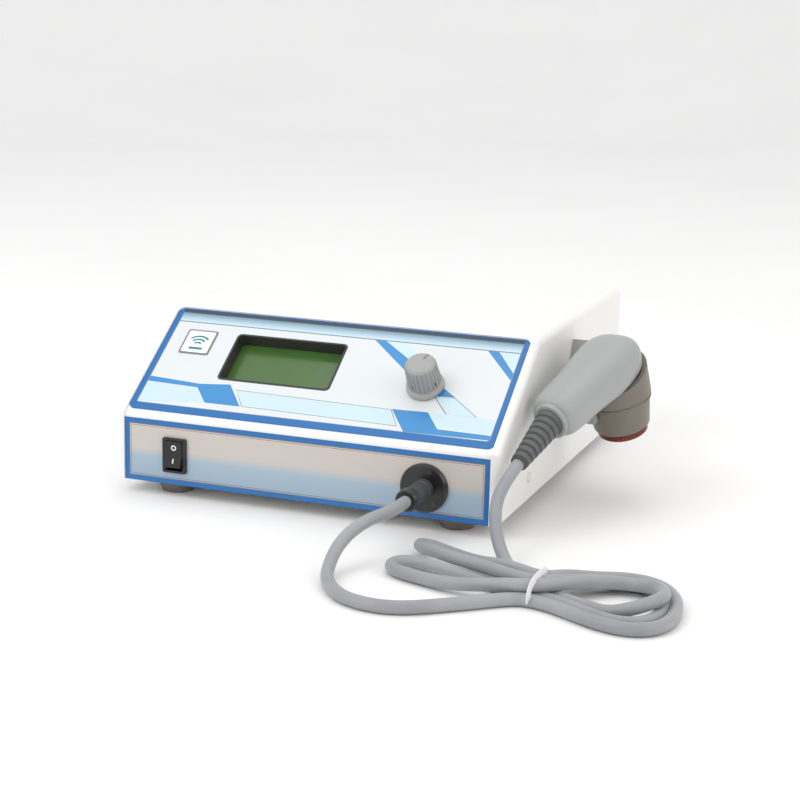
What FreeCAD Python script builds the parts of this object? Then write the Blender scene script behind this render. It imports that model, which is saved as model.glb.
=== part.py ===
import FreeCAD, Part
import math
import os
import re
import Sketcher
from FreeCAD import Placement, Rotation, Vector

# A table-top therapeutic ultrasound unit: sloped-front cabinet, one control knob,
# a round output socket, and an angled treatment head parked in a side holder.
# Millimetres. +Z is up, the front faces -Y and +X is to the operator's right.
# The origin is on the table, under the middle of the object with its handset.

DRIVING = [
    # cabinet
    ("mid_x", -28.3, "cabinet's middle plane"),
    ("front_y", -135.4, "cabinet's front face"),
    ("panel_width", 228, "sloped and front labels"),
    ("cheek_width", 4.55, "cabinet beyond the labels on each side"),
    ("cheek_proud", 1.2, "cheeks stand over the labels"),
    ("cabinet_depth", 273, "front to back"),
    ("roof_height", 102.5, "table to the top of the cover"),
    ("foot_height", 8.5, "table to the underside"),
    ("front_height", 38, "front label"),
    ("nose_depth", 3.3, "front face back to the slope's lower end"),
    ("nose_height", 5, "front label's top up to the slope's lower end"),
    ("slope_angle", 35.34, "slope against the table, degrees"),
    ("slope_length", 84.65, "sloped label up the slope"),
    ("wall", 3, "moulded walls"),
    ("edge_round", 5, "outer side edges"),
    ("nose_round", 5, "bend between the front and the slope"),
    ("lip_round", 4.5, "lip over the sloped label, at its two corners"),
    ("label_thick", 0.4, "printed overlays"),
    ("plate_thick", 2.5, "rear panel"),
    ("inlet_x", -70, "mains inlet's middle"),
    ("inlet_z", 52, "mains inlet's middle above the table"),
    # controls on the slope
    ("window_width", 72.1, "display window"),
    ("window_length", 37.9, "display window up the slope"),
    ("window_x", -31.05, "window's middle"),
    ("window_up", 48.35, "window's middle up the slope"),
    ("window_drop", 8, "label down to the display glass"),
    ("badge_size", 19.8, "square badge"),
    ("badge_x", -90.35, "badge's middle"),
    ("badge_up", 57.1, "badge's middle up the slope"),
    ("knob_x", 62, "knob's axis"),
    ("knob_up", 40.3, "knob's axis up the slope"),
    ("knob_skirt_dia", 22.5, "knob's skirt"),
    ("knob_body_dia", 18.6, "knob's ribbed body, lower end"),
    ("knob_top_dia", 17.2, "knob's ribbed body, upper end"),
    ("knob_height", 20.5, "label to the knob's top"),
    ("knob_gap", 1, "label to the knob's skirt"),
    ("knob_turn", -25, "knob's pointer at rest, degrees from straight up the slope"),
    ("shaft_dia", 6, "encoder shaft"),
    ("bush_dia", 9, "encoder's threaded bush"),
    ("run_clear", 0.05, "radial running clearance"),
    # front controls
    ("rocker_x", -80.5, "power switch's middle"),
    ("rocker_z", 26.5, "power switch's middle above the table"),
    ("bezel_width", 15.2, "power switch bezel"),
    ("bezel_height", 21, "power switch bezel"),
    ("socket_x", 75.6, "output socket's axis"),
    ("socket_z", 26, "output socket's axis above the table"),
    ("flange_dia", 28.2, "output socket flange"),
    ("flange_thick", 3, "output socket flange"),
    ("plug_dia", 11, "plug shell"),
    ("plug_reach", 31, "front face to the plug's cord end"),
    # feet
    ("foot_dia", 22, "rubber foot"),
    ("foot_x", 89, "feet from the middle plane"),
    ("foot_inset", 20, "feet from the front and back"),
    # handset, in its own frame: head axis up Z, cable towards -Y
    ("hand_x", 155.15, "head axis from the middle plane"),
    ("hand_y", 106.67, "head axis from the front face"),
    ("hand_z", 76.6, "the handset's origin, on the head axis, above the table"),
    ("hand_yaw", -18, "degrees"),
    ("hand_pitch", -1.9, "degrees"),
    ("hand_roll", 19.4, "degrees"),
    ("head_dia", 41.2, "head's widest ring"),
    ("face_dia", 30, "radiating face"),
    ("head_drop", 37, "handset's origin down to the radiating face"),
    ("seam_rise", 3, "seam between dome and head, on the head axis"),
    ("seam_tilt", 16.7, "the seam rises to the front, degrees"),
    ("gasket_thick", 0.8, "gasket in the seam"),
    ("parting_rise", 6, "plane between the handle's two shells"),
    ("grip_reach", 67, "head axis to the handle's cable end"),
    ("grip_head_dia", 36, "dome over the head"),
    ("grip_end_width", 28.8, "handle at the cable end"),
    ("grip_wall", 2, "handle shells"),
    ("collar_dia", 22, "collar round the strain relief"),
    ("collar_thick", 2.4, "collar round the strain relief"),
    ("rocker_axle_y", 4.5, "power switch axle behind the front face"),
    ("collar_rise", 7.6, "collar axis above the handset's origin"),
    ("relief_yaw", 3, "strain relief against the handle, degrees"),
    ("relief_droop", 8.2, "strain relief against the handle, degrees"),
    ("relief_length", 37.3, "ribbed strain relief"),
    ("relief_base_dia", 17, "strain relief at the collar"),
    ("relief_tip_dia", 10, "strain relief at the cord"),
    ("cord_dia", 7, "handset cord"),
    ("hank_height", 15, "tied hank, two cords deep"),
]

doc = FreeCAD.newDocument("ultrasound_therapy_unit")
dims = doc.addObject("Spreadsheet::Sheet", "dims")
for row, (alias, value, meaning) in enumerate(DRIVING, start=1):
    dims.set(f"A{row}", alias)
    dims.set(f"B{row}", str(value))
    dims.setAlias(f"B{row}", alias)
    dims.set(f"C{row}", meaning)
doc.recompute()

ALIASES = {entry[0] for entry in DRIVING}
NODES = []


def size(expression):
    """The value of an expression of sheet names, or of a number."""
    return float(dims.evalExpression(spell(expression)))


def spell(expression):
    """Puts the sheet's name before each of its aliases."""
    def word(found):
        return "dims." + found[0] if found[0] in ALIASES else found[0]

    return re.sub(r"[a-z_]+", word, str(expression))


def bind(item, **expressions):
    for name, expression in expressions.items():
        item.setExpression(name, spell(expression))
    return item


def node(item, label):
    item.Label = label
    NODES.append(item)
    return item


# Frames ------------------------------------------------------------------------------


class Frame:
    """A place to put pieces in: the cabinet, its slope, or the handset."""

    def __init__(self, corner, turn=Rotation()):
        self.corner = corner
        self.turn = turn

    def put(self, item, where, turn=Rotation()):
        """Places an item at coordinates of this frame, bound to the sheet where it is upright."""
        if self.turn.isIdentity():
            item.Placement = Placement(Vector(), turn)
            for axis, start, step in zip("xyz", self.corner, where):
                item.setExpression("Placement.Base." + axis, spell(f"{start} + ({step})"))
        else:
            item.Placement = self.at(where).multiply(Placement(Vector(), turn))
        return item

    def at(self, where):
        corner = Vector(*[size(value) for value in self.corner])
        local = Vector(*[size(value) for value in where])
        return Placement(corner + self.turn.multVec(local), self.turn)


CABINET = Frame(("mid_x", "front_y", "0"))
SLOPE = Frame(
    ("mid_x", "front_y + nose_depth", "foot_height + front_height + nose_height"),
    Rotation(Vector(1, 0, 0), size("slope_angle")),
)
HAND = Frame(
    ("mid_x + hand_x", "front_y + hand_y", "hand_z"),
    Rotation(size("hand_yaw"), size("hand_pitch"), size("hand_roll")),
)
SEAM = Frame(
    HAND.at(("0", "0", "seam_rise")).Base,
    HAND.turn.multiply(Rotation(Vector(1, 0, 0), size("seam_tilt"))),
)
RELIEF = Frame(
    HAND.at(("0", "-grip_reach - collar_thick", "collar_rise")).Base,
    HAND.turn.multiply(Rotation(size("relief_yaw"), 0, size("relief_droop"))),
)
ALONG_X = Rotation(Vector(0, 1, 0), 90)
TO_FRONT = Rotation(Vector(1, 0, 0), 90)
TO_BACK = Rotation(Vector(1, 0, 0), -90)
UP = Rotation()
BACKWARDS = Rotation(Vector(1, 0, 0), 180)
KNOB_TURN = Rotation(Vector(0, 0, 1), size("knob_turn"))
HOLDER_SCREWS = (("109", "63.5"), ("141", "52"))
GRIP_SCREWS = (("-34", "-4.95", "18.6"), ("-54", "-4.7", "17.4"))
FLUTE_REACH = Vector(size("knob_body_dia / 2 + 0.35"), 0, 0)


# Pieces ------------------------------------------------------------------------------


def block(name, sizes, where, frame=CABINET):
    """A box: sizes along the frame's axes, where its base's middle goes."""
    item = doc.addObject("Part::Box", name)
    bind(item, Length=sizes[0], Width=sizes[1], Height=sizes[2])
    corner = (f"{where[0]} - ({sizes[0]}) / 2", f"{where[1]} - ({sizes[1]}) / 2", where[2])
    return frame.put(item, corner)


def rod(name, dia, length, where, turn=UP, frame=CABINET):
    item = doc.addObject("Part::Cylinder", name)
    bind(item, Radius=f"({dia}) / 2", Height=length)
    return frame.put(item, where, turn)


def fuse(name, items):
    item = doc.addObject("Part::MultiFuse", name)
    item.Shapes = items
    return item


def group(name, items):
    item = doc.addObject("Part::Compound", name)
    item.Links = items
    return item


def cut(name, base, tools):
    item = doc.addObject("Part::Cut", name)
    item.Base = base
    item.Tool = tools[0] if len(tools) == 1 else fuse(name + "_tools", tools)
    return item


def common(name, base, tool):
    item = doc.addObject("Part::Common", name)
    item.Base = base
    item.Tool = tool
    return item


def sketch_on(body, plane):
    sketch = body.newObject("Sketcher::SketchObject", body.Name + "_" + plane[:2])
    origin = [item for item in body.Origin.OriginFeatures if item.Role == plane]
    sketch.AttachmentSupport = [(origin[0], "")]
    sketch.MapMode = "FlatFace"
    return sketch


def outline(sketch, corners):
    """A closed polygon whose corners are pairs of sheet expressions."""
    places = [Vector(size(across), size(along), 0) for across, along in corners]
    first = sketch.GeometryCount
    count = len(places)
    for n in range(count):
        sketch.addGeometry(Part.LineSegment(places[n], places[(n + 1) % count]))
    for n in range(count):
        sketch.addConstraint(
            Sketcher.Constraint("Coincident", first + n, 2, first + (n + 1) % count, 1)
        )
    for n, pair in enumerate(corners):
        for kind, expression, value in zip(("DistanceX", "DistanceY"), pair, places[n]):
            datum = Sketcher.Constraint(kind, -1, 1, first + n, 1, value)
            number = sketch.addConstraint(datum)
            sketch.setExpression(f"Constraints[{number}]", spell(expression))


def new_body(name):
    return doc.addObject("PartDesign::Body", name)


def pad(body, corners, length, plane="XY_Plane", midplane=False):
    sketch = sketch_on(body, plane)
    outline(sketch, corners)
    feature = body.newObject("PartDesign::Pad", body.Name + "_pad")
    feature.Profile = sketch
    feature.Midplane = midplane
    bind(feature, Length=length)
    return feature


def pocket(body, corners, length, plane):
    """Cuts a prism centred on the sketch plane."""
    sketch = sketch_on(body, plane)
    outline(sketch, corners)
    feature = body.newObject("PartDesign::Pocket", body.Name + "_pocket")
    feature.Profile = sketch
    feature.Midplane = True
    bind(feature, Length=length)
    return feature


def turned(name, corners, where, frame=CABINET, turn=UP):
    """A body revolved about its Z axis from a profile of radius and height pairs."""
    body = new_body(name)
    sketch = sketch_on(body, "XZ_Plane")
    outline(sketch, corners)
    feature = body.newObject("PartDesign::Revolution", name + "_turning")
    feature.Profile = sketch
    feature.ReferenceAxis = (sketch, ["V_Axis"])
    feature.Angle = 360
    return frame.put(body, where, turn)


def rounded(body, radius, picks):
    """Rounds the edges of the body's last feature that the test picks."""
    doc.recompute()
    tip = body.Tip
    names = [f"Edge{n}" for n, edge in enumerate(tip.Shape.Edges, start=1) if picks(edge)]
    feature = body.newObject("PartDesign::Fillet", body.Name + "_round")
    feature.Base = (tip, names)
    bind(feature, Radius=radius)
    return feature


def runs_along(edge, direction):
    if edge.Curve.TypeId != "Part::GeomLine":
        return False
    return abs(abs(edge.Curve.Direction.dot(direction)) - 1) < 1e-6


def slab(name, sizes, corner, where, frame=CABINET, turn=UP):
    """A plate with rounded corners: width, length and thickness, on its base's middle."""
    body = new_body(name)
    wide, long = f"({sizes[0]}) / 2", f"({sizes[1]}) / 2"
    corners = [(f"-{wide}", f"-{long}"), (wide, f"-{long}"), (wide, long), (f"-{wide}", long)]
    pad(body, corners, sizes[2])
    rounded(body, corner, lambda edge: runs_along(edge, Vector(0, 0, 1)))
    return frame.put(body, where, turn)


# Cabinet -----------------------------------------------------------------------------


def slope_point(up, out):
    """A point of the cabinet's side view: so far up the slope and out from it."""
    along = f"nose_depth + ({up}) * cos(slope_angle) - ({out}) * sin(slope_angle)"
    high = f"slope_foot + ({up}) * sin(slope_angle) + ({out}) * cos(slope_angle)"
    return along, high.replace("slope_foot", "foot_height + front_height + nose_height")


def meets_front(depth, out):
    """Where the slope, moved outwards, meets an upright plane at that depth."""
    up = f"(({depth}) - nose_depth + ({out}) * sin(slope_angle)) / cos(slope_angle)"
    return depth, slope_point(up, out)[1]


def meets_level(height, out):
    """Where the slope, moved outwards, meets a level plane at that height."""
    foot = "foot_height + front_height + nose_height"
    up = f"(({height}) - ({foot}) - ({out}) * cos(slope_angle)) / sin(slope_angle)"
    return slope_point(up, out)[0], height


def make_cover():
    """The white upper moulding: roof, cheeks, front and sloped beds, in one piece."""
    width = "panel_width + 2 * cheek_width"
    body = new_body("cover_shell")
    front = "-cheek_proud"
    pad(
        body,
        [
            (front, "foot_height"),
            meets_front(front, "cheek_proud"),
            meets_level("roof_height", "cheek_proud"),
            ("cabinet_depth", "roof_height"),
            ("cabinet_depth", "foot_height"),
        ],
        width,
        "YZ_Plane",
        midplane=True,
    )
    half = size(width) / 2
    floor = size("foot_height")
    deep = size("cabinet_depth")

    def side_edge(edge):
        box = edge.BoundBox
        on_side = box.XLength < 1e-6 and abs(abs(box.XMin) - half) < 1e-6
        return on_side and box.ZMax > floor + 1 and box.YMin < deep - 1

    rounded(body, "edge_round", side_edge)

    def rear_edge(edge):
        box = edge.BoundBox
        return box.YMin > deep - 0.01 and box.ZMax > floor + 1

    rounded(body, "edge_round / 2", rear_edge)
    pocket(
        body,
        [
            ("wall", "foot_height - 1"),
            meets_front("wall", "-wall"),
            meets_level("roof_height - wall", "-wall"),
            ("cabinet_depth + 1", "roof_height - wall"),
            ("cabinet_depth + 1", "foot_height - 1"),
        ],
        "panel_width + 2 * cheek_width - 2 * wall",
        "YZ_Plane",
    )
    lip = slope_point("slope_length", "-label_thick")
    pocket(
        body,
        [
            ("-6", "foot_height - 1"),
            ("label_thick", "foot_height - 1"),
            meets_front("label_thick", "-label_thick"),
            lip,
            slope_point("slope_length", "8"),
            ("-6", slope_point("slope_length", "8")[1]),
        ],
        "panel_width",
        "YZ_Plane",
    )
    nose = meets_front("label_thick", "-label_thick")
    nose_z = size(nose[1])
    lip_y = size(lip[0])
    label_edge = size("panel_width") / 2

    def nose_edge(edge):
        middle = edge.BoundBox.Center
        return runs_along(edge, Vector(1, 0, 0)) and abs(middle.z - nose_z) < 0.01

    rounded(body, "nose_round", nose_edge)

    def lip_corner(edge):
        box = edge.BoundBox
        at_side = box.XLength < 1e-6 and abs(abs(box.XMin) - label_edge) < 1e-6
        return at_side and abs(box.YMax - lip_y) < 0.01 and edge.Length < 6

    rounded(body, "lip_round", lip_corner)
    CABINET.put(body, ("0", "0", "0"))
    openings = [
        slab(
            "window_opening",
            ("window_width", "window_length", "20"),
            "3",
            ("window_x", "window_up", "-10"),
            SLOPE,
        ),
        rod("knob_opening", "bush_dia + 0.4", "20", ("knob_x", "knob_up", "-10"), UP, SLOPE),
        block("rocker_opening", ("13.2", "20", "20.2"), ("rocker_x", "0", "rocker_z - 10.1")),
        rod("socket_opening", "20.2", "20", ("socket_x", "-8", "socket_z"), TO_BACK),
    ]
    openings += [
        rod(f"holder_fixing_{n}", "4.2", "9", ("panel_width / 2", along, high), ALONG_X)
        for n, (along, high) in enumerate(HOLDER_SCREWS)
    ]
    openings += [
        rod(f"side_hole_{n}", "3.4", "12", (side_x(sign, "0") + " - 6", along, "22"), ALONG_X)
        for n, (sign, along) in enumerate(side_screw_places())
    ]
    return node(cut("cover_cut", body, openings), "top_cover")


def side_screw_places():
    return [(sign, along) for sign in ("1", "-1") for along in ("60", "225")]


def side_x(sign, inwards):
    """A place so far inside the cover's left or right outer face."""
    return f"{sign} * (panel_width / 2 + cheek_width - ({inwards}))"


def make_base():
    inner = "panel_width + 2 * cheek_width - 2 * wall"
    front, back = "wall", "cabinet_depth - 4"
    middle = f"({front} + {back}) / 2"
    floor = block("base_floor", (inner, f"{back} - {front}", "wall"), ("0", middle, "foot_height"))
    rims = [
        block(
            f"base_rim_{n}",
            ("2.5", f"{back} - {front}", "20"),
            (side_x(sign, "wall + 1.25"), middle, "foot_height"),
        )
        for n, sign in enumerate(("-1", "1"))
    ]
    pillars = [
        rod(f"base_pillar_{n}", "8", "8", (across, along, "foot_height + wall - 0.5"))
        for n, (across, along) in enumerate(main_posts() + rf_posts())
    ]
    holes = [
        rod(f"foot_hole_{n}", "4.3", "12", (across, along, "foot_height - 1"))
        for n, (across, along) in enumerate(foot_places())
    ]
    holes += [
        rod(f"pillar_hole_{n}", "3", "8", (across, along, "foot_height + wall + 2"))
        for n, (across, along) in enumerate(main_posts() + rf_posts())
    ]
    slots = [
        block(f"base_slot_{n}", ("3", "40", "10"), (f"{8 * n - 28}", "150", "foot_height - 2"))
        for n in range(8)
    ]
    side_holes = [
        rod(f"rim_hole_{n}", "3", "14", (side_x(sign, "wall") + " - 7", along, "22"), ALONG_X)
        for n, (sign, along) in enumerate(side_screw_places())
    ]
    tray = fuse("base_whole", [floor] + rims + pillars)
    return node(cut("base_cut", tray, holes + slots + side_holes), "base_tray")


def foot_places():
    rows = ("foot_inset", "cabinet_depth - foot_inset")
    return [(sign + "foot_x", row) for row in rows for sign in ("-", "")]


def main_posts():
    return [(across, along) for across in ("-66", "16") for along in ("94", "166")]


def rf_posts():
    return [(across, along) for across in ("42", "98") for along in ("94", "184")]


def make_feet():
    names = ("front_left", "front_right", "rear_left", "rear_right")
    for name, (across, along) in zip(names, foot_places()):
        shape = [
            ("0", "5"),
            ("0", "8.5"),
            ("foot_dia / 2", "8.5"),
            ("foot_dia / 2", "4"),
            ("foot_dia / 2 - 1.6", "0"),
            ("3.6", "0"),
            ("3.6", "5"),
        ]
        foot = turned("rubber_" + name, shape, (across, along, "0"))
        hole = rod(f"foot_bore_{name}", "4.3", "10", (across, along, "0"))
        node(cut("foot_cut_" + name, foot, [hole]), "foot_" + name)
    screws = [
        screw(f"foot_screw_{n}", "7", "4", "9", (across, along, "5"), BACKWARDS)
        for n, (across, along) in enumerate(foot_places())
    ]
    node(group("foot_screw_set", screws), "foot_screws")


def screw(name, head_dia, dia, length, where, turn, frame=CABINET):
    """A pan-head screw: the head stands on the given point, the shank goes in behind it."""
    head = rod(name + "_head", head_dia, "2", where, turn, frame)
    shank = rod(name + "_shank", dia, length, where, turn.multiply(BACKWARDS), frame)
    return fuse(name, [head, shank])


def make_case_screws():
    """The pan-head screws that hold the cover, the rear panel and the mains inlet."""
    screws = []
    for n, (sign, along) in enumerate(side_screw_places()):
        outwards = Rotation(Vector(0, 1, 0), 90 * int(sign))
        screws.append(screw(f"side_screw_{n}", "6", "3", "9", (side_x(sign, "0"), along, "22"), outwards))
    for n, (across, up) in enumerate(rear_screw_places()):
        where = (across, "cabinet_depth - 4 + plate_thick", up)
        screws.append(screw(f"rear_screw_{n}", "6", "3", "10", where, TO_BACK))
    for n, (across, up) in enumerate(inlet_screw_places()):
        where = (across, "cabinet_depth + 1", up)
        screws.append(screw(f"inlet_screw_{n}", "5.5", "3", "10", where, TO_BACK))
    node(group("case_screw_set", screws), "case_screws")


def make_rear_panel():
    """The rear plate with the mains inlet's hole, two vent fields and four screws."""
    inner = "panel_width + 2 * cheek_width - 2 * wall"
    back = "cabinet_depth - 4"
    height = "roof_height - wall - foot_height"
    plate = block(
        "rear_plate", (inner, "plate_thick", height), ("0", f"{back} + plate_thick / 2", "foot_height")
    )
    tools = [block("inlet_hole", ("28.2", "20", "31.2"), ("inlet_x", back, "inlet_z - 15.6"))]
    for n in range(9):
        tools.append(block(f"vent_{n}", ("3.2", "20", "34"), (f"{7 * n + 22}", back, "46")))
    tools += [
        rod(f"rear_hole_{n}", "3.3", "20", (across, "cabinet_depth - 14", up), TO_BACK)
        for n, (across, up) in enumerate(rear_screw_places() + inlet_screw_places())
    ]
    node(cut("rear_cut", plate, tools), "rear_panel")


def rear_screw_places():
    return [(across, up) for across in ("-106", "106") for up in ("18", "90")]


def inlet_screw_places():
    return [(f"inlet_x {sign} 20", "inlet_z") for sign in ("-", "+")]


def make_labels():
    front = block(
        "front_sheet",
        ("panel_width", "label_thick", "front_height"),
        ("0", "label_thick / 2", "foot_height"),
    )
    tools = [
        block("front_rocker_hole", ("13.2", "20", "20.2"), ("rocker_x", "0", "rocker_z - 10.1")),
        rod("front_socket_hole", "20.2", "20", ("socket_x", "-8", "socket_z"), TO_BACK),
    ]
    node(cut("front_label_cut", front, tools), "front_label")
    sheet = slab(
        "slope_sheet",
        ("panel_width", "slope_length", "label_thick"),
        "4.5",
        ("0", "slope_length / 2", "-label_thick"),
        SLOPE,
    )
    window = slab(
        "slope_window",
        ("window_width", "window_length", "20"),
        "3",
        ("window_x", "window_up", "-10"),
        SLOPE,
    )
    hole = rod("slope_knob_hole", "bush_dia + 0.4", "20", ("knob_x", "knob_up", "-10"), UP, SLOPE)
    node(cut("slope_label_cut", sheet, [window, hole]), "slope_label")
    badge = slab(
        "badge_plate",
        ("badge_size", "badge_size", "0.5"),
        "1.2",
        ("badge_x", "badge_up", "0"),
        SLOPE,
    )
    node(badge, "badge")


# Display -----------------------------------------------------------------------------


def make_display():
    """Window frame, display glass, its pressed metal frame and its circuit board."""
    where = ("window_x", "window_up")
    inside = ("window_width - 2.4", "window_length - 2.4")
    frame = slab("frame_outer", ("window_width", "window_length", "window_drop + 0.3"), "3",
                 where + ("-window_drop",), SLOPE)
    through = slab("frame_inner", inside + ("20",), "2", where + ("-window_drop - 5",), SLOPE)
    node(cut("frame_cut", frame, [through]), "window_frame")
    glass = slab("glass_plate", ("window_width + 4", "window_length + 4", "2.2"), "1",
                 where + ("-window_drop - 2.2",), SLOPE)
    node(glass, "display_glass")
    below = "-window_drop - 2.2"
    metal = slab("metal_outer", ("window_width + 8", "window_length + 8", "5"), "1",
                 where + (f"{below} - 5",), SLOPE)
    hollow = slab("metal_inner", ("window_width + 5", "window_length + 5", "20"), "1",
                  where + (f"{below} - 15",), SLOPE)
    node(cut("metal_cut", metal, [hollow]), "display_bezel")
    board = slab("display_board_plate", ("93", "62", "1.6"), "1.5", where + (f"{below} - 6.6",),
                 SLOPE)
    corners = [(f"window_x {a} 43", f"window_up {b} 27.5") for a in "-+" for b in "-+"]
    board_holes = [
        rod(f"display_hole_{n}", "2.6", "8", (across, up, f"{below} - 9"), UP, SLOPE)
        for n, (across, up) in enumerate(corners)
    ]
    node(cut("display_board_cut", board, board_holes), "display_board")


# Knob and encoder --------------------------------------------------------------------


def make_knob():
    low, top = "knob_gap", "knob_height"
    shape = [
        ("shaft_dia / 2 + run_clear", low),
        ("knob_skirt_dia / 2 - 0.4", low),
        ("knob_skirt_dia / 2", f"{low} + 0.5"),
        ("knob_skirt_dia / 2 - 0.2", f"{low} + 2.2"),
        ("knob_body_dia / 2", f"{low} + 3.4"),
        ("knob_top_dia / 2", f"{top} - 1.2"),
        ("knob_top_dia / 2 - 1.2", top),
        ("0", top),
        ("0", "15"),
        ("shaft_dia / 2 + run_clear", "15"),
    ]
    knob = Frame(SLOPE.at(("knob_x", "knob_up", "0")).Base, SLOPE.turn.multiply(KNOB_TURN))
    middle = ("0", "0", "0")
    body = turned("knob_turning", shape, middle, knob)
    flutes = 24
    tools = []
    for n in range(flutes):
        reach = Rotation(Vector(0, 0, 1), 360 / flutes * n).multVec(FLUTE_REACH)
        where = (f"{reach.x:.3f}", f"{reach.y:.3f}", "knob_gap + 4.4")
        tools.append(rod(f"knob_flute_{n}", "1.5", "20", where, UP, knob))
    pins = []
    for n, turn in enumerate((TO_FRONT, ALONG_X)):
        start = turn.multVec(Vector(0, 0, size("shaft_dia / 2 + run_clear")))
        where = (f"{start.x:.3f}", f"{start.y:.3f}", "7.5")
        tools.append(rod(f"knob_screw_hole_{n}", "2.6", "20", where, turn, knob))
        pins.append(rod(f"knob_grub_{n}", "2.6", "3.4", where, turn, knob))
    node(group("knob_grub_set", pins), "knob_set_screws")
    tools.append(block("knob_pointer", ("1.2", "6", "3"), ("0", "6.2", "knob_height - 0.6"), knob))
    node(cut("knob_cut", body, tools), "control_knob")


def make_encoder():
    at_knob = ("knob_x", "knob_up")
    bush = cut(
        "bush_cut",
        rod("bush_rod", "bush_dia", "7.2", at_knob + ("-6.9",), UP, SLOPE),
        [rod("bush_bore", "shaft_dia + 2 * run_clear", "20", at_knob + ("-10",), UP, SLOPE)],
    )
    node(bush, "encoder_bush")
    nut = new_body("bush_nut")
    across_flats = 6.3
    corners = []
    for n in range(6):
        spot = Rotation(Vector(0, 0, 1), 60 * n).multVec(Vector(across_flats, 0, 0))
        corners.append((f"{spot.x:.4f}", f"{spot.y:.4f}"))
    pad(nut, corners, "1.9")
    SLOPE.put(nut, at_knob + ("-wall - label_thick - 1.9",))
    nut_bore = rod("nut_bore", "bush_dia", "20", at_knob + ("-14",), UP, SLOPE)
    node(cut("nut_cut", nut, [nut_bore]), "encoder_nut")
    case = block("encoder_case", ("14", "14", "6.5"), at_knob + ("-13.4",), SLOPE)
    well = rod("encoder_well", "8", "6", at_knob + ("-11.4",), UP, SLOPE)
    node(cut("encoder_case_cut", case, [well]), "encoder_body")
    shaft = fuse(
        "shaft_whole",
        [
            rod("shaft_rod", "shaft_dia", "24", at_knob + ("-9.6",), UP, SLOPE),
            rod("shaft_collar", "7.6", "1.8", at_knob + ("-9.6",), UP, SLOPE),
        ],
    )
    node(shaft, "encoder_shaft")
    node(rod("dome_pin", "3", "1", at_knob + ("-10.65",), UP, SLOPE), "push_pin")


# Power switch ------------------------------------------------------------------------


def make_power_switch():
    centre = ("rocker_x", "0", "rocker_z")
    bezel = slab("bezel_plate", ("bezel_width", "bezel_height", "1.8"), "1", centre, CABINET, TO_FRONT)
    case = block("rocker_case", ("13", "16.6", "20"), ("rocker_x", "8.3", "rocker_z - 10"))
    well = block("rocker_well", ("10.8", "16", "18.2"), ("rocker_x", "5", "rocker_z - 9.1"))
    bearing = rod(
        "rocker_bearing", "2.5", "12", ("rocker_x - 6", "rocker_axle_y", "rocker_z"), ALONG_X
    )
    tabs = [
        block(f"rocker_tab_{n}", ("4.8", "9.5", "0.8"), (f"rocker_x {side} 3.2", "21", f"rocker_z {up} 5"))
        for n, (side, up) in enumerate((("-", "-"), ("+", "-"), ("-", "+"), ("+", "+")))
    ]
    whole = fuse("rocker_body", [bezel, case] + tabs)
    node(cut("rocker_case_cut", whole, [well, bearing]), "switch_case")
    key = new_body("rocker_key")
    pad(
        key,
        [
            ("1.9", "-7.7"),
            ("-4.6", "-6.6"),
            ("-2", "0.9"),
            ("-2.4", "8.85"),
            ("4.1", "8.1"),
            ("6.7", "-0.3"),
        ],
        "10.4",
        "YZ_Plane",
        midplane=True,
    )
    CABINET.put(key, centre)
    axle = rod("rocker_axle", "2.4", "11.9", ("rocker_x - 5.95", "rocker_axle_y", "rocker_z"), ALONG_X)
    node(fuse("rocker_whole", [key, axle]), "rocker")


# Output socket and plug --------------------------------------------------------------


def make_socket():
    axis = ("socket_x", "0", "socket_z")
    rim = turned(
        "socket_turning",
        [
            ("6.2", "14"),
            ("10", "14"),
            ("10", "0"),
            ("flange_dia / 2", "0"),
            ("flange_dia / 2", "1.2 - flange_thick"),
            ("flange_dia / 2 - 1.2", "-flange_thick"),
            ("6.2", "-flange_thick"),
        ],
        axis,
        CABINET,
        TO_BACK,
    )
    seats = []
    screws = []
    for n in range(3):
        spot = Rotation(Vector(0, 1, 0), 120 * n + 20).multVec(Vector(0, 0, 10.6))
        across, up = f"socket_x + {spot.x:.3f}", f"socket_z + {spot.z:.3f}"
        seats.append(rod(f"socket_seat_{n}", "3", "2", (across, "-flange_thick - 1", up), TO_BACK))
        screws.append(rod(f"socket_screw_{n}", "3", "1.2", (across, "-flange_thick - 0.2", up), TO_BACK))
    insert = rod("socket_insert", "12.6", "6", ("socket_x", "8", "socket_z"), TO_BACK)
    node(cut("socket_cut", fuse("socket_whole", [rim, insert]), seats), "output_socket")
    node(group("socket_screw_set", screws), "socket_screws")
    ring = cut(
        "socket_ring_cut",
        rod("socket_ring", "26", "3", ("socket_x", "wall", "socket_z"), TO_BACK),
        [rod("socket_ring_bore", "20", "20", ("socket_x", "-2", "socket_z"), TO_BACK)],
    )
    node(ring, "socket_nut")


def make_plug():
    axis = ("socket_x", "0", "socket_z")
    shell = turned(
        "plug_turning",
        [
            ("0", "-7.9"),
            ("6.1", "-7.9"),
            ("6.1", "flange_thick"),
            ("plug_dia / 2 + 0.4", "flange_thick + 0.6"),
            ("plug_dia / 2 + 0.4", "flange_thick + 4"),
            ("plug_dia / 2", "flange_thick + 5"),
            ("plug_dia / 2", "plug_reach - 7"),
            ("0", "plug_reach - 7"),
        ],
        axis,
        CABINET,
        TO_FRONT,
    )
    node(shell, "plug_shell")
    cap = turned(
        "plug_cap_turning",
        [
            ("0", "plug_reach - 7"),
            ("plug_dia / 2 + 0.9", "plug_reach - 7"),
            ("plug_dia / 2 + 0.9", "plug_reach - 1.2"),
            ("plug_dia / 2", "plug_reach"),
            ("0", "plug_reach"),
        ],
        axis,
        CABINET,
        TO_FRONT,
    )
    node(cap, "plug_cap")


# Mains inlet -------------------------------------------------------------------------


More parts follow.
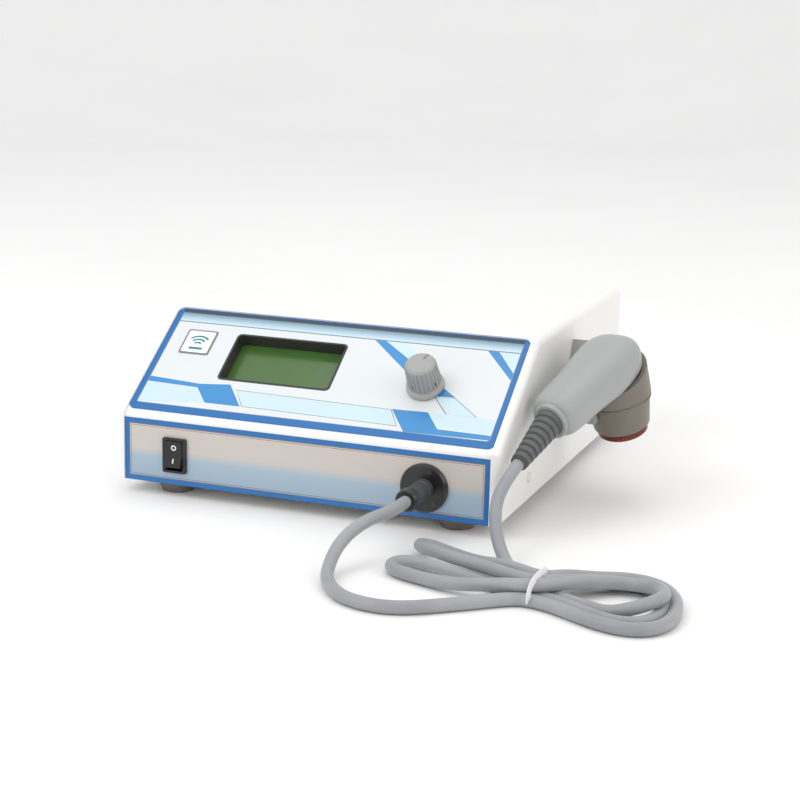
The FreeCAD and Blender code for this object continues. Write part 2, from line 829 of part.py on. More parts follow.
def make_inlet():
    """A fused mains inlet: shell with its cavity, three blades, drawer and fuse."""
    rear = "cabinet_depth - 1.5"
    flange = block("inlet_flange", ("50", "2.5", "33"), ("inlet_x", f"{rear} + 1.25", "inlet_z - 16.5"))
    shell = block("inlet_shell", ("28", "25", "31"), ("inlet_x", f"{rear} - 12.4", "inlet_z - 15.5"))
    cavity = block("inlet_cavity", ("24", "19", "16.5"), ("inlet_x", f"{rear} - 6.5", "inlet_z - 3"))
    drawer_bay = block(
        "drawer_bay", ("20.4", "21.2", "8.9"), ("inlet_x", f"{rear} - 7.9", "inlet_z - 13.9")
    )
    holes = [
        rod(f"inlet_hole_{n}", "3.3", "20", (across, "cabinet_depth - 12", up), TO_BACK)
        for n, (across, up) in enumerate(inlet_screw_places())
    ]
    node(cut("inlet_cut", fuse("inlet_body", [flange, shell]), [cavity, drawer_bay] + holes), "mains_inlet")
    blades = [
        block(f"inlet_blade_{n}", ("2", "25", "4"), (across, f"{rear} - 18", f"inlet_z + {up}"))
        for n, (across, up) in enumerate((("inlet_x - 7", "2"), ("inlet_x", "6.5"), ("inlet_x + 7", "2")))
    ]
    node(group("inlet_blade_set", blades), "inlet_blades")
    tray = block("drawer_tray", ("20", "19.8", "8.5"), ("inlet_x", f"{rear} - 7.2", "inlet_z - 13.7"))
    front = block("drawer_front", ("22", "1.8", "9.5"), ("inlet_x", f"{rear} + 3.5", "inlet_z - 14.2"))
    slot = block("drawer_slot", ("5.6", "16", "10"), ("inlet_x", f"{rear} - 7", "inlet_z - 11.7"))
    node(cut("drawer_cut", fuse("drawer_whole", [tray, front]), [slot]), "fuse_drawer")
    tube = rod("fuse_tube", "5", "14", ("inlet_x", f"{rear} - 14", "inlet_z - 9.2"), TO_BACK)
    node(tube, "fuse")


# Electronics -------------------------------------------------------------------------


def make_power_supply():
    """A laminated mains transformer on the floor, behind the display."""
    core = block("core_stack", ("66", "34", "55"), ("-76", "215", "foot_height + wall"))
    windows = [
        block(f"core_window_{n}", ("11.2", "60", "33"), (f"-76 {side} 16.6", "215", "22.5"))
        for n, side in enumerate("-+")
    ]
    node(cut("core_cut", core, windows), "transformer_core")
    coil = block("coil_outer", ("44.2", "52", "32.8"), ("-76", "215", "22.6"))
    leg = block("coil_leg", ("22.2", "34.2", "60"), ("-76", "215", "10"))
    node(cut("coil_cut", coil, [leg]), "transformer_winding")


def make_boards():
    level = "foot_height + wall + 7.5"
    main = block("main_plate", ("92", "82", "1.6"), ("-25", "130", level))
    main_holes = [
        rod(f"main_hole_{n}", "3.2", "10", (across, along, level + " - 4"))
        for n, (across, along) in enumerate(main_posts())
    ]
    node(cut("main_cut", main, main_holes), "main_board")
    high = level + " + 1.6"
    chips = [
        block("chip_controller", ("14", "14", "1.6"), ("-34", "128", high)),
        block("chip_driver", ("7.5", "10", "2.4"), ("-8", "140", high)),
        block("chip_regulator", ("10", "15", "4.5"), ("2", "118", high)),
        block("header", ("30", "5", "9"), ("-38", "98", high)),
        rod("buzzer", "12", "9", ("4", "158", high)),
    ]
    node(group("chip_set", chips), "board_parts")
    cans = [
        rod(f"can_{n}", "16", "26", (f"{-58 + 19 * n}", "156", high)) for n in range(2)
    ]
    node(group("can_set", cans), "capacitors")
    rf = block("rf_plate", ("68", "102", "1.6"), ("70", "139", level))
    rf_holes = [
        rod(f"rf_hole_{n}", "3.2", "10", (across, along, level + " - 4"))
        for n, (across, along) in enumerate(rf_posts())
    ]
    node(cut("rf_cut", rf, rf_holes), "output_board")
    fins = block("fin_stock", ("24", "70", "34"), ("88", "140", high))
    gaps = [
        block(f"fin_gap_{n}", ("18", "4", "50"), ("92", f"{111 + 8 * n}", high + " - 5"))
        for n in range(8)
    ]
    node(cut("fin_cut", fins, gaps), "heat_sink")
    devices = [
        block(f"device_{n}", ("4.6", "10", "18"), ("73.7", f"{125 + 30 * n}", high + " + 3"))
        for n in range(2)
    ]
    node(group("device_set", devices), "power_transistors")
    ring = doc.addObject("Part::Torus", "coil_ring")
    bind(ring, Radius1="11", Radius2="4.5")
    CABINET.put(ring, ("54", "120", high + " + 4.5"))
    node(ring, "output_coil")
    screws = [
        screw(f"board_screw_{n}", "5.5", "3", "6.6", (across, along, high), UP)
        for n, (across, along) in enumerate(main_posts() + rf_posts())
    ]
    node(group("board_screw_set", screws), "board_screws")


# Handset -----------------------------------------------------------------------------

GRIP = [
    # along the handle, half width, underside, top; the last four close the dome
    ("-grip_reach", "grip_end_width / 2 - 3.9", "-0.6", "17.6"),
    ("-grip_reach + 2.5", "grip_end_width / 2 - 1.2", "-3.4", "20.4"),
    ("-grip_reach + 7.5", "grip_end_width / 2", "-4.4", "21.6"),
    ("-44", "grip_end_width / 2 + 0.8", "-4.6", "22.4"),
    ("-22", "grip_head_dia / 2 - 1", "-5.2", "24.2"),
    ("0", "grip_head_dia / 2", "-5", "25.4"),
    ("8", "grip_head_dia / 2 - 1.8", "-3.6", "23.8"),
    ("13", "grip_head_dia / 2 - 5.2", "-0.8", "21"),
    ("16.4", "grip_head_dia / 2 - 10", "2.8", "17.2"),
    ("17.8", "grip_head_dia / 2 - 14", "6.4", "13.6"),
]


def grip_loft(name, inset):
    """The handle's outer form, or its hollow when inset, lofted from soft oblongs."""
    power = 2 / 2.7
    sections = []
    for along, half, low, high in GRIP:
        place, wide = size(along), size(half) - inset
        bottom, top = size(low) + inset, size(high) - inset
        place -= math.copysign(inset * 0.6, place)
        middle, tall = (bottom + top) / 2, (top - bottom) / 2
        ring = []
        for n in range(20):
            turn = 2 * math.pi * n / 20
            across, up = math.cos(turn), math.sin(turn)
            across = math.copysign(abs(across) ** power, across) * wide
            up = math.copysign(abs(up) ** power, up) * tall
            ring.append(Vector(across, place, middle + up))
        curve = Part.BSplineCurve()
        curve.interpolate(Points=ring, PeriodicFlag=True)
        sections.append(Part.Wire(curve.toShape()))
    item = doc.addObject("Part::Feature", name)
    item.Shape = Part.makeLoft(sections, True, False)
    item.Placement = HAND.at(("0", "0", "0"))
    return item


def below_seam(name, top):
    """Everything in the head's reach under a plane parallel to the seam."""
    return block(name, ("60", "60", "60"), ("0", "0", f"{top} - 60"), SEAM)


def make_grip():
    outer = grip_loft("grip_outer", 0)
    shell = cut("grip_shell", outer, [grip_loft("grip_inner", size("grip_wall"))])
    above = block("grip_above", ("60", "200", "40"), ("0", "-40", "parting_rise"), HAND)
    below = block("grip_below", ("60", "200", "40"), ("0", "-40", "parting_rise - 40"), HAND)
    top = common("grip_top_half", shell, above)
    lower = common("grip_low_half", shell, below)
    rooms = [
        common(
            f"grip_room_{n}",
            rod(f"grip_room_rod_{n}", "head_dia + 0.8", "60", ("0", "0", "-30"), UP, HAND),
            below_seam(f"grip_room_block_{n}", "gasket_thick"),
        )
        for n in range(2)
    ]
    screws, bosses, bores, holes = [], [], [], []
    for n, (along, under, tall) in enumerate(GRIP_SCREWS):
        bosses.append(rod(f"grip_boss_{n}", "6.4", tall, ("0", along, "3.2"), UP, HAND))
        bores.append(rod(f"grip_bore_{n}", "3.1", "12", ("0", along, "1.6"), UP, HAND))
        holes.append(rod(f"grip_hole_{n}", "3.2", "8", ("0", along, "-8"), UP, HAND))
        seat = ("0", along, under)
        screws.append(screw(f"grip_screw_{n}", "5.4", "3", f"11 - ({under})", seat, BACKWARDS, HAND))
    with_bosses = fuse("grip_top_bosses", [top] + bosses)
    top_tools = [rooms[0], cable_hole("top")] + bores
    node(cut("grip_top_cut", with_bosses, top_tools), "handset_top_shell")
    low_tools = [rooms[1], cable_hole("lower")] + holes
    node(cut("grip_low_cut", lower, low_tools), "handset_lower_shell")
    node(group("grip_screw_set", screws), "handset_screws")


def cable_hole(name):
    """The hole for the strain relief in the handle's cable end."""
    where = ("0", "-grip_reach + 6", "collar_rise")
    return rod(f"grip_cable_hole_{name}", "relief_base_dia - 3", "12", where, TO_FRONT, HAND)


def make_head():
    """The tube under the dome, its lid along the seam, and the treatment face below."""
    ring = "head_dia / 2"
    low = "-head_drop"
    profile = [
        (f"{ring} - 2.6", "14"),
        (ring, "14"),
        (ring, "-11.8"),
        (f"{ring} - 0.9", "-12.6"),
        (f"{ring} - 0.3", "-13.4"),
        (f"{ring} - 0.3", "-14.4"),
        (f"{ring} - 1.2", "-14.9"),
        (f"{ring} - 2.6", "-24"),
        ("face_dia / 2 + 1.8", f"{low} + 5.4"),
        ("face_dia / 2 + 0.8", f"{low} + 4.4"),
        ("13", f"{low} + 4.4"),
        ("13", f"{low} + 7"),
        ("15.4", "-24"),
        ("17", "-14"),
    ]
    wall = turned("head_turning", profile, ("0", "0", "0"), HAND)
    under_seam = common("head_wall", wall, below_seam("head_wall_block", "0"))
    lid = cut(
        "head_lid",
        rod("head_lid_disc", "head_dia - 2.4", "2.5", ("0", "0", "-2.5"), UP, SEAM),
        [rod("head_lid_hole", "30", "5", ("0", "0", "-4"), UP, SEAM)],
    )
    node(fuse("head_whole", [under_seam, lid]), "head_housing")
    gasket = cut(
        "gasket_cut",
        rod("gasket_disc", "grip_head_dia - 0.4", "gasket_thick", ("0", "0", "0"), UP, SEAM),
        [rod("gasket_bore", "30", "4", ("0", "0", "-2"), UP, SEAM)],
    )
    node(gasket, "handset_gasket")
    face = [
        ("0", low),
        ("face_dia / 2 - 0.8", low),
        ("face_dia / 2", f"{low} + 0.8"),
        ("face_dia / 2", f"{low} + 3.6"),
        ("13", f"{low} + 3.6"),
        ("13", f"{low} + 9"),
        ("11.6", f"{low} + 9"),
        ("11.6", f"{low} + 1.6"),
        ("0", f"{low} + 1.6"),
    ]
    node(turned("face_turning", face, ("0", "0", "0"), HAND), "radiating_face")
    seal = [
        ("13", f"{low} + 3.6"),
        ("face_dia / 2 + 0.5", f"{low} + 3.6"),
        ("face_dia / 2 + 0.5", f"{low} + 4.4"),
        ("13", f"{low} + 4.4"),
    ]
    node(turned("seal_turning", seal, ("0", "0", "0"), HAND), "face_seal")
    node(rod("crystal_disc", "22.4", "2.2", ("0", "0", f"{low} + 1.6"), UP, HAND), "crystal")


def make_relief():
    """Collar on the handle's end, and the ribbed strain relief that droops out of it."""
    start = "-1"
    collar = [
        ("relief_base_dia / 2 - 1.5", "0"),
        ("relief_base_dia / 2 - 1.5", "collar_thick"),
        ("collar_dia / 2 - 0.8", "collar_thick"),
        ("collar_dia / 2", "collar_thick - 1"),
        ("collar_dia / 2", "0"),
    ]
    ring = turned("collar_turning", collar, ("0", "-grip_reach", "collar_rise"), HAND, TO_FRONT)
    where = ("0", f"-({start})", "0")
    seat = rod("collar_seat", "relief_base_dia", "12", where, TO_FRONT, RELIEF)
    node(cut("collar_cut", ring, [seat]), "handset_collar")
    ribs = 8
    shape = [("0", "-7"), ("5.2", "-7"), ("5.2", start), ("relief_base_dia / 2", start)]
    for n in range(ribs):
        here = f"(relief_base_dia - (relief_base_dia - relief_tip_dia) * {n + 0.7} / {ribs}) / 2"
        crest = f"relief_length * {(n + 0.55) / ribs}"
        groove = f"relief_length * {(n + 0.70) / ribs}"
        next_rib = f"relief_length * {(n + 0.95) / ribs}"
        shape += [(here, crest), (f"{here} - 1.3", groove), (f"{here} - 1.4", next_rib)]
        shape.append((f"{here} - 0.3", f"relief_length * {(n + 1) / ribs}"))
    shape.append(("0", "relief_length"))
    node(turned("relief_turning", shape, ("0", "0", "0"), RELIEF, TO_FRONT), "strain_relief")


def make_holder():
    """The side holder: wall plate, forked shelf under the head's ring, and rear upstand."""
    side = "panel_width / 2 + cheek_width"
    plate = slab("holder_plate", ("24", "44", "3.5"), "4", (side, "124", "57"), CABINET, ALONG_X)
    shelf = block("holder_shelf", ("48", "49", "5.5"), ("-27", "1", "-20.5"), HAND)
    upstand = block("holder_upstand", ("24", "4.5", "37"), (f"{side} + 12", "133", "56"))
    upstand.Placement.Rotation = Rotation(Vector(1, 0, 0), -28)
    neck = rod("holder_neck_room", "head_dia - 2", "20", ("0", "0", "-26"), UP, HAND)
    inside = block("holder_inside", ("60", "200", "200"), (f"{side} - 30", "116", "0"))
    holes = [
        rod(f"holder_hole_{n}", "4.2", "20", (f"{side} - 4", along, high), ALONG_X)
        for n, (along, high) in enumerate(HOLDER_SCREWS)
    ]
    whole = fuse("holder_whole", [plate, shelf, upstand])
    node(cut("holder_cut", whole, [neck, inside] + holes), "handset_holder")
    screws = [
        screw(f"holder_screw_{n}", "7", "4", "9", (f"{side} + 3.5", along, high), ALONG_X)
        for n, (along, high) in enumerate(HOLDER_SCREWS)
    ]
    node(group("holder_screw_set", screws), "holder_screws")


# Handset cord ------------------------------------------------------------------------
# Cabinet coordinates: from the middle plane, from the front face, above the table.

LEAD = [
    ("socket_x", "-plug_reach", "socket_z"),
    ("socket_x", "-50", "26"),
    ("62", "-66", "24"),
    ("51", "-79", "15"),
    ("51", "-96", "5"),
    ("60", "-114", "3.6"),
    ("78", "-132", "3.6"),
    ("106", "-135", "3.6"),
    ("134", "-115", "3.6"),
    ("157", "-93", "3.6"),
]
RISER = [
    ("156", "-73", "10"),
    ("146", "-62", "7"),
    ("134", "-46", "7"),
    ("126", "-34", "15"),
    ("123", "-24", "28"),
]
HANK = [
    (160, -71), (176, -68), (194, -58), (214, -46), (230, -49), (240, -64), (241, -88),
    (233, -111), (218, -120), (198, -115), (178, -104), (160, -98), (140, -95), (118, -95),
    (98, -90), (82, -81), (78, -71), (85, -63), (100, -66), (118, -73), (134, -77),
    (118, -66), (100, -55), (86, -49.5), (81, -43.5), (87, -38.5), (104, -45), (124, -58.5),
    (144, -69),
]


def tube(name, points, dia):
    """A cord of straight runs and tangent arcs, each arc as large as its runs allow."""
    steps = [after - before for before, after in zip(points, points[1:])]
    path, start = [], points[0]
    for n in range(1, len(points) - 1):
        into, out = Vector(steps[n - 1]).normalize(), Vector(steps[n]).normalize()
        turn = into.getAngle(out)
        trim = 0.45 * min(steps[n - 1].Length, steps[n].Length)
        radius = trim / math.tan(turn / 2)
        begin, end = points[n] - into * trim, points[n] + out * trim
        sagitta = (out - into).normalize() * (radius / math.cos(turn / 2) - radius)
        path.append(Part.LineSegment(start, begin).toShape())
        path.append(Part.Arc(begin, points[n] + sagitta, end).toShape())
        start = end
        print(f"{name}: turn {math.degrees(turn):.0f} degrees, radius {radius:.1f} mm")
    path.append(Part.LineSegment(start, points[-1]).toShape())
    wire = Part.Wire(path)
    circle = Part.Wire(Part.Circle(points[0], steps[0], dia / 2).toShape())
    item = doc.addObject("Part::Feature", name)
    item.Shape = wire.makePipeShell([circle], True, False)
    expected = math.pi * dia * dia / 4 * wire.Length
    print(f"{name}: length {wire.Length:.1f} mm, volume {item.Shape.Volume / expected:.4f} of expected")
    return item


def make_cord():
    dia = size("cord_dia")
    lead = [CABINET.at(where).Base for where in LEAD]
    node(tube("lead_tube", lead, dia), "cord_lead")
    tip = RELIEF.at(("0", "-relief_length", "0")).Base
    below_tip = RELIEF.at(("0", "-relief_length - 19", "0")).Base
    riser = [CABINET.at(where).Base for where in RISER] + [below_tip, tip]
    node(tube("riser_tube", riser, dia), "cord_riser")
    hank = new_body("hank_body")
    pad(hank, HANK, "hank_height")
    CABINET.put(hank, ("0", "0", "0"))
    tie = cut(
        "tie_cut",
        block("tie_outer", ("4", "30", "hank_height + 1"), ("166", "-84.5", "0")),
        [block("tie_inner", ("8", "27.6", "hank_height - 1.4"), ("166", "-84.5", "1.2"))],
    )
    node(tie, "twist_tie")
    waist = cut(
        "waist_cut",
        block("waist_outer", ("4", "60", "hank_height + 4"), ("166", "-84.5", "-2")),
        [block("waist_inner", ("8", "27.6", "hank_height - 1.4"), ("166", "-84.5", "1.2"))],
    )
    node(cut("hank_cut", hank, [waist]), "cord_hank")


# Build, test, write ------------------------------------------------------------------

make_cover()
make_base()
make_feet()
make_rear_panel()
make_case_screws()
make_labels()
make_display()
make_knob()
make_encoder()
make_power_switch()
make_socket()
make_plug()
make_inlet()
make_power_supply()
make_boards()
make_grip()
make_head()
make_relief()
make_holder()
make_cord()
doc.recompute()

for item in doc.Objects:
    if "Invalid" in item.State or "Error" in item.State:
        raise RuntimeError(f"{item.Name} failed: {item.State}")
os.makedirs("parts", exist_ok=True)
for item in NODES:
    if item.Shape.isNull() or not item.Shape.isValid() or not item.Shape.Solids:
        raise RuntimeError(f"{item.Label} has no valid solid")
    item.Shape.exportStep(f"parts/{item.Label}.step")
print(f"{len(NODES)} nodes written")
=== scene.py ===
import math

import bmesh
import bpy
from mathutils import Matrix, Vector
from mathutils.geometry import delaunay_2d_cdt


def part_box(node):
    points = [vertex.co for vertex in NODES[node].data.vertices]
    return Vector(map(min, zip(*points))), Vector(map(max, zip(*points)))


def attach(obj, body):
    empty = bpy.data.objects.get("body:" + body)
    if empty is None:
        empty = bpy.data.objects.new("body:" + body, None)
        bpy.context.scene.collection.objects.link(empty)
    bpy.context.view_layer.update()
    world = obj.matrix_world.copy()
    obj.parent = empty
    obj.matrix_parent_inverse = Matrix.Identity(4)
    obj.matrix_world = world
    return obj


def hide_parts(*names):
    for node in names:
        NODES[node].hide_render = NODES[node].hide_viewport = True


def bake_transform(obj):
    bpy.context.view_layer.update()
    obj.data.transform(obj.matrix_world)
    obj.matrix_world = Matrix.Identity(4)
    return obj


# Looks of a table-top therapeutic ultrasound unit: a sloped-front cabinet with printed labels,
# an angled treatment head parked at its side, and the head's cord in a tied hank in front.
# Row frame, metres. Lengths below are written in millimetres and turned into metres by MM.

MM = 0.001
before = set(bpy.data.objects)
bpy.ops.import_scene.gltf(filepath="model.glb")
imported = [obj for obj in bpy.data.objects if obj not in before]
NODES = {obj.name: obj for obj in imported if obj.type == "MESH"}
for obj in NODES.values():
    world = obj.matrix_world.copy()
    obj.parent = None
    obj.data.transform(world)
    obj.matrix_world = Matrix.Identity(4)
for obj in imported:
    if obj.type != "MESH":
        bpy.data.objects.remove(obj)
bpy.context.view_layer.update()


def middle(node):
    low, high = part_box(node)
    return (low + high) / 2


# Frames ------------------------------------------------------------------------------
# CABINET: from the cabinet's middle plane, its front face and the table, as in the design.
# SLOPE: on the sloped label, x across, y up the slope, z out of it.

FRONT_LOW, FRONT_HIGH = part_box("front_label")
CABINET = Matrix.Translation((middle("front_label").x, FRONT_LOW.y, 0))
PANEL_WIDTH = (FRONT_HIGH.x - FRONT_LOW.x) / MM
FRONT_BOTTOM = FRONT_LOW.z / MM
FRONT_HEIGHT = (FRONT_HIGH.z - FRONT_LOW.z) / MM
SLOPE_ANGLE = 35.34
SLOPE_LENGTH = 84.65
SLOPE_START = (0, 3.3, 51.5)
WINDOW = (-31.05, 48.35)
WINDOW_SIZE = (72.1, 37.9)
BADGE = (-90.35, 57.1)
KNOB = (62, 40.3)
KNOB_TURN = -25
ROCKER_X, ROCKER_Z = -80.5, 26.5
SOCKET_X, SOCKET_Z = 75.6, 26


def cabinet(x, y, z):
    return CABINET @ (Vector((x, y, z)) * MM)


def leaning(x, y, z, angle):
    """A plane at a point of the cabinet, turned back from level by an angle in degrees."""
    lean = Matrix.Rotation(math.radians(angle), 4, "X")
    return CABINET @ Matrix.Translation(Vector((x, y, z)) * MM) @ lean


SLOPE = leaning(*SLOPE_START, SLOPE_ANGLE)
FRONT = leaning(0, 0, FRONT_BOTTOM, 90)


# Materials ---------------------------------------------------------------------------


class Graph:
    """A material's node tree with short calls for the few nodes that these finishes use."""

    def __init__(self, name):
        self.material = bpy.data.materials.new(name)
        self.material.use_nodes = True
        self.tree = self.material.node_tree
        self.shader = self.tree.nodes["Principled BSDF"]
        self.place = self.add("ShaderNodeTexCoord").outputs["Object"]

    def add(self, kind, **values):
        node = self.tree.nodes.new(kind)
        for name, value in values.items():
            setattr(node, name, value)
        return node

    def link(self, start, end):
        self.tree.links.new(start, end)
        return end.node

    def noise(self, scale, detail=2.0, stretch=(1, 1, 1)):
        spread = self.add("ShaderNodeMapping")
        spread.inputs["Scale"].default_value = stretch
        self.link(self.place, spread.inputs["Vector"])
        noise = self.add("ShaderNodeTexNoise")
        noise.inputs["Scale"].default_value = scale
        noise.inputs["Detail"].default_value = detail
        self.link(spread.outputs["Vector"], noise.inputs["Vector"])
        return noise.outputs["Fac"]

    def ramp(self, factor, stops):
        ramp = self.add("ShaderNodeValToRGB")
        elements = ramp.color_ramp.elements
        for n, (position, colour) in enumerate(stops):
            element = elements[n] if n < 2 else elements.new(position)
            element.position = position
            element.color = (*colour, 1)
        self.link(factor, ramp.inputs["Fac"])
        return ramp.outputs["Color"]

    def spread(self, factor, low, high):
        mapped = self.add("ShaderNodeMapRange")
        mapped.inputs["To Min"].default_value = low
        mapped.inputs["To Max"].default_value = high
        self.link(factor, mapped.inputs["Value"])
        return mapped.outputs["Result"]

    def bump(self, height, strength, distance):
        bump = self.add("ShaderNodeBump")
        bump.inputs["Strength"].default_value = strength
        bump.inputs["Distance"].default_value = distance
        self.link(height, bump.inputs["Height"])
        self.link(bump.outputs["Normal"], self.shader.inputs["Normal"])

    def axis(self, name):
        split = self.add("ShaderNodeSeparateXYZ")
        self.link(self.place, split.inputs["Vector"])
        return split.outputs[name]


def linear(colour):
    """Screen colour, 0 to 255, as the linear light that a shader takes."""
    def channel(value):
        value /= 255
        return value / 12.92 if value <= 0.04045 else ((value + 0.055) / 1.055) ** 2.4

    return tuple(channel(value) for value in colour)


def shaded(colour, amount):
    return tuple(min(1, value * amount) for value in linear(colour))


def finish(name, colour, rough=0.4, metal=0, mottle=0.05, grain=900, depth=0.03, coat=0,
           patch=18, stretch=(1, 1, 1)):
    """A moulded, painted or machined surface: faint patches, a fine grain and uneven gloss."""
    graph = Graph(name)
    shader = graph.shader
    shader.inputs["Metallic"].default_value = metal
    shader.inputs["Coat Weight"].default_value = coat
    shader.inputs["Coat Roughness"].default_value = 0.12
    patches = graph.noise(patch, 4.0, stretch)
    stops = [(0.3, shaded(colour, 1 - mottle)), (0.7, shaded(colour, 1 + mottle / 2))]
    graph.link(graph.ramp(patches, stops), shader.inputs["Base Color"])
    grains = graph.noise(grain, 3.0, stretch)
    graph.link(graph.spread(grains, rough * 0.85, rough * 1.15), shader.inputs["Roughness"])
    graph.bump(grains, depth * 4, 0.0002)
    return graph.material


def layered(name, axis, low, high, stops, rough):
    """A printed sheet whose colour changes along one axis, from low to high in millimetres; on the
    slope's top band the change is pale blue print darkened towards the top by painted shade.
    """
    graph = Graph(name)
    along = graph.add("ShaderNodeMapRange")
    along.inputs["From Min"].default_value = low * MM
    along.inputs["From Max"].default_value = high * MM
    graph.link(graph.axis(axis), along.inputs["Value"])
    sheet_colour = graph.ramp(along.outputs["Result"], [(at, linear(colour)) for at, colour in stops])
    graph.link(sheet_colour, graph.shader.inputs["Base Color"])
    grains = graph.noise(1400, 2.0)
    graph.link(graph.spread(grains, rough * 0.85, rough * 1.15), graph.shader.inputs["Roughness"])
    graph.bump(grains, 0.06, 0.0001)
    return graph.material


def glass_green():
    """The lit display: yellow-green glass with faint patches of tone and a fine grain in its
    surface.
    """
    graph = Graph("display_green")
    shader = graph.shader
    shader.inputs["Coat Weight"].default_value = 0.6
    shader.inputs["Coat Roughness"].default_value = 0.05
    shader.inputs["Roughness"].default_value = 0.3
    patches = graph.noise(14, 2.0)
    stops = [(0.3, linear((58, 94, 38))), (0.7, linear((68, 106, 46)))]
    colour = graph.ramp(patches, stops)
    graph.link(colour, shader.inputs["Base Color"])
    graph.link(colour, shader.inputs["Emission Color"])
    shader.inputs["Emission Strength"].default_value = 0.12
    graph.bump(graph.noise(2200, 1.0), 0.03, 0.0001)
    return graph.material


def materials():
    blue, pale = (62, 142, 204), (203, 226, 236)
    return {
        "case_white": finish("case_white", (240, 240, 238), 0.42, grain=1500, mottle=0.012),
        "rear_plate": finish("rear_plate", (226, 227, 226), 0.38, grain=700, mottle=0.03),
        "ground": finish("print_ground", (222, 227, 230), 0.32, grain=1300, mottle=0.015),
        "blue": finish("print_blue", blue, 0.3, grain=1300, mottle=0.05),
        "border": finish("print_border", (34, 110, 178), 0.3, grain=1300, mottle=0.06),
        "pale": finish("print_pale", pale, 0.3, grain=1300, mottle=0.03),
        # painted shadow: a dark strip that stands for the shade cast by the top cover's lip on the
        # slope label
        "lip_shade": finish("lip_painted_shadow", (58, 70, 82), 0.4, grain=1300),
        "line": finish("print_line", (120, 138, 152), 0.35, grain=1300),
        "warm_line": finish("print_warm_line", (128, 104, 92), 0.35, grain=1300),
        "foot_rubber": finish("foot_rubber", (118, 110, 106), 0.75, grain=500, depth=0.08),
        "screw_steel": finish("screw_steel", (182, 184, 186), 0.28, metal=1, grain=400),
        "dark_screw": finish("dark_screw", (70, 68, 66), 0.4, metal=0.6, grain=400),
        "window_dark": finish("window_dark", (52, 50, 48), 0.45, grain=900),
        "display_green": glass_green(),
        "pressed_metal": finish("pressed_metal", (168, 170, 172), 0.35, metal=1, grain=300),
        "board_green": finish("board_green", (28, 92, 58), 0.4, mottle=0.15, patch=120),
        "board_parts": finish("board_parts", (34, 34, 36), 0.45, grain=600),
        "capacitor_sleeve": finish("capacitor_sleeve", (38, 48, 98), 0.3, grain=500),
        "knob_grey": finish("knob_grey", (164, 165, 163), 0.45, grain=1400, depth=0.05,
                            mottle=0.06),
        "dark_hole": finish("dark_hole", (42, 40, 40), 0.5),
        "encoder_metal": finish("encoder_metal", (196, 190, 172), 0.3, metal=1),
        "encoder_case": finish("encoder_case", (52, 58, 60), 0.5),
        "switch_black": finish("switch_black", (24, 24, 25), 0.38, grain=1200, depth=0.05),
        "socket_black": finish("socket_black", (16, 16, 17), 0.3, grain=700, coat=0.3),
        "plug_dark": finish("plug_dark", (70, 72, 74), 0.42, grain=900, depth=0.05),
        "inlet_black": finish("inlet_black", (26, 26, 27), 0.4, grain=900),
        "blade_brass": finish("blade_brass", (206, 178, 108), 0.25, metal=1),
        "fuse_glass": finish("fuse_glass", (206, 216, 214), 0.1, coat=0.8),
        "core_steel": finish("core_steel", (104, 98, 92), 0.5, metal=0.8, stretch=(1, 1, 30)),
        "winding_tape": finish("winding_tape", (206, 166, 62), 0.5, mottle=0.1),
        "sink_aluminium": finish("sink_aluminium", (188, 190, 192), 0.32, metal=1,
                                 stretch=(1, 20, 1)),
        "coil_wire": finish("coil_wire", (172, 88, 46), 0.3, metal=0.9, stretch=(1, 1, 60)),
        "handset_grey": finish("handset_grey", (160, 165, 165), 0.36, grain=1600, depth=0.04,
                               mottle=0.03),
        "holder_grey": finish("holder_grey", (160, 162, 160), 0.45, grain=1400),
        "head_grey": finish("head_grey", (120, 113, 104), 0.4, grain=1500, depth=0.04,
                            mottle=0.06),
        "gasket_black": finish("gasket_black", (22, 22, 22), 0.6, grain=600),
        "face_copper": finish("face_copper", (124, 60, 46), 0.28, metal=0.85, mottle=0.1),
        "crystal_ceramic": finish("crystal_ceramic", (216, 206, 184), 0.5),
        "relief_grey": finish("relief_grey", (92, 95, 95), 0.55, grain=1200, depth=0.07),
        "cord_grey": cord_vinyl(),
        "tie_white": finish("tie_white", (240, 240, 240), 0.35, grain=900),
        "mark_white": finish("mark_white", (225, 225, 222), 0.5),
        "badge_ring": finish("badge_ring", (128, 128, 128), 0.35),
        "badge_white": finish("badge_white", (246, 246, 246), 0.25, mottle=0.01),
        "badge_teal": finish("badge_teal", (22, 128, 140), 0.3),
    }


def cord_vinyl():
    """Grey vinyl sheath: satin, with long soft patches where it has been handled."""
    graph = Graph("cord_grey")
    patches = graph.noise(26, 5.0)
    stops = [(0.3, linear((140, 143, 147))), (0.7, linear((160, 163, 167)))]
    graph.link(graph.ramp(patches, stops), graph.shader.inputs["Base Color"])
    graph.link(graph.spread(patches, 0.34, 0.5), graph.shader.inputs["Roughness"])
    graph.shader.inputs["Sheen Weight"].default_value = 0.15
    graph.bump(graph.noise(1700, 3.0), 0.14, 0.0001)
    return graph.material


LOOK = materials()
# top band colours: pale blue print at the bottom, darkened towards the top by painted shade of the
# top cover's lip
BAND_INKS_AND_PAINTED_SHADE = [(0.0, (206, 227, 238)), (0.5, (164, 194, 212)), (1.0, (112, 138, 156))]
FRONT_INKS = [
    (0.0, (148, 172, 192)), (0.40, (163, 183, 198)), (0.54, (200, 194, 189)),
    (1.0, (203, 195, 188)),
]
LOOK["band"] = layered("print_band_and_painted_shade", "Z", 94.3, 98.5, BAND_INKS_AND_PAINTED_SHADE, 0.3)
LOOK["front_print"] = layered("print_front", "Z", 8.5, 46.5, FRONT_INKS, 0.34)

